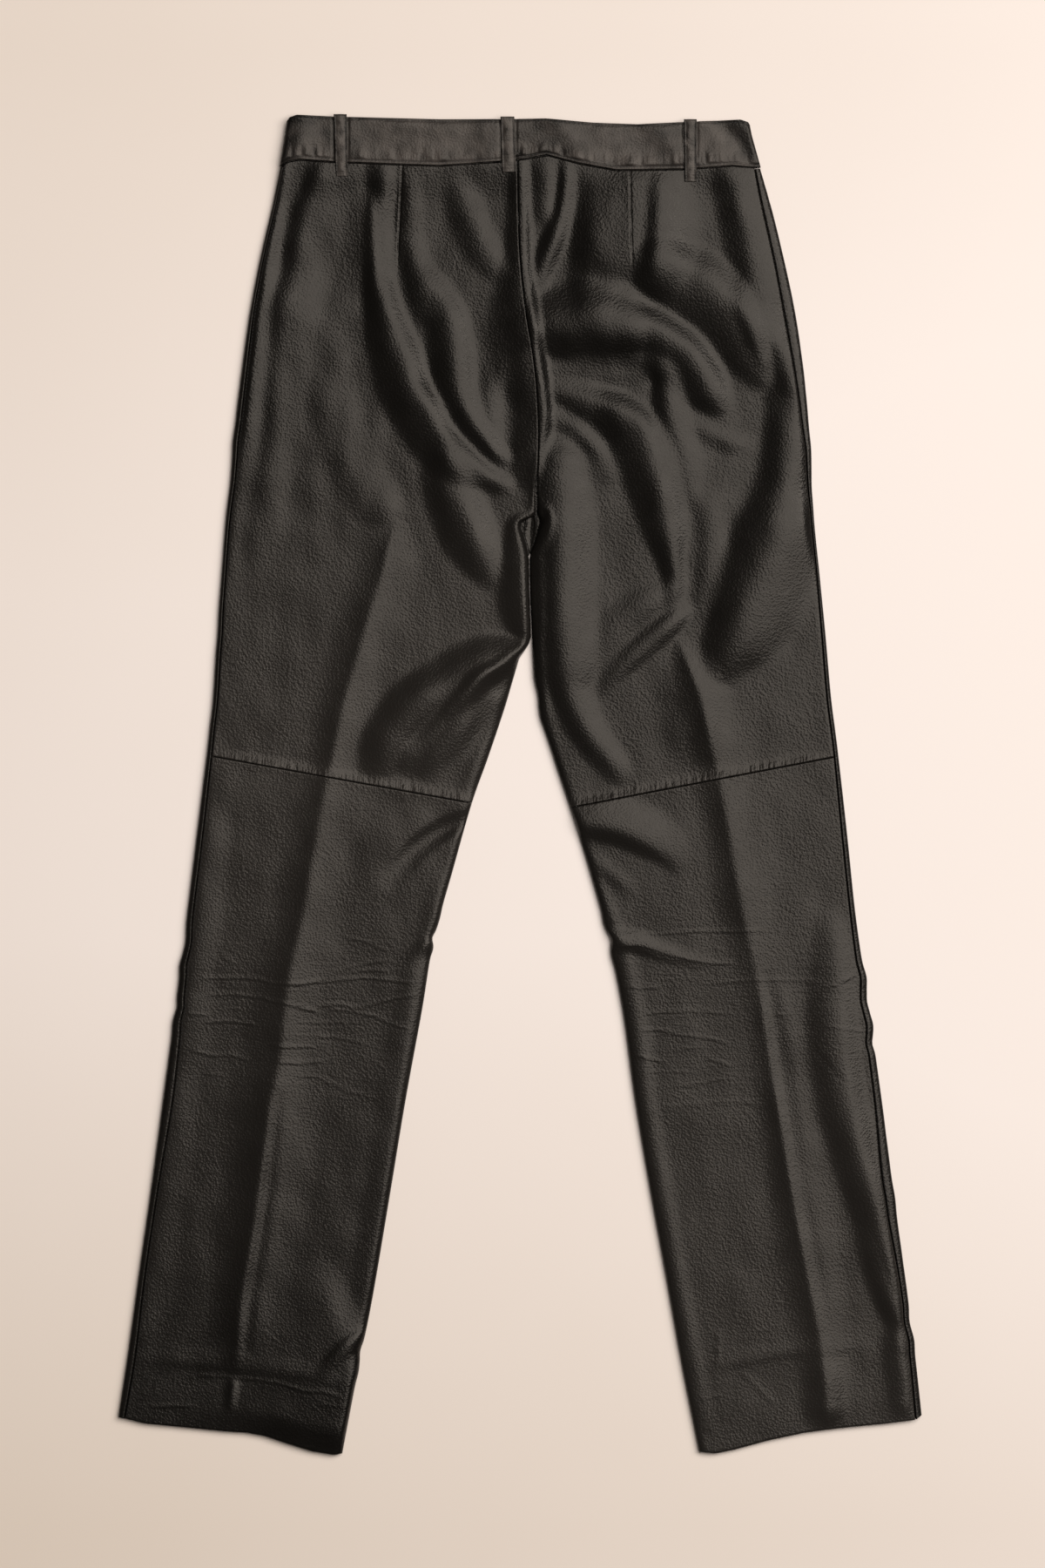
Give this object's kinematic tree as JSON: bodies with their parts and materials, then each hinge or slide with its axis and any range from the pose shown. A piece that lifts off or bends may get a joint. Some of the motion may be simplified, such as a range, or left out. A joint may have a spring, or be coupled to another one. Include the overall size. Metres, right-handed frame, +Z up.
{
  "type": "leather trousers",
  "caption": "Straight-leg leather trousers laid flat on their front, back up, with a waistband, belt loops and seams across the back of the knees.",
  "frame": {"origin": "middle of the surface that the trousers lie on, under the middle of their bounding box", "axes": "+X to the wearer's right as the back faces up, +Y from the hems to the waist, +Z up from the surface"},
  "size_m": [0.6258, 1.0456, 0.0158],
  "materials": {
    "black_leather": "soft, fine-grained nappa with a low sheen",
    "band_leather": "the same leather, interlined and edge-stitched",
    "zip_tape": "woven tape",
    "dark_metal": "dark nickel, satin"
  },
  "bodies": {
    "root": {"back_left_upper": "black_leather", "back_left_lower": "black_leather", "back_right_upper": "black_leather", "back_right_lower": "black_leather", "front_left": "black_leather", "front_right": "black_leather", "waistband_left": "band_leather", "waistband_right": "band_leather", "belt_loop_back_left": "band_leather", "belt_loop_back_centre": "band_leather", "belt_loop_back_right": "band_leather", "belt_loop_front_left": "band_leather", "belt_loop_front_right": "band_leather", "waistband_underlap": "band_leather", "fly_zip": "zip_tape", "zip_slider": "dark_metal", "waist_button": "dark_metal"}
  },
  "joints": []
}
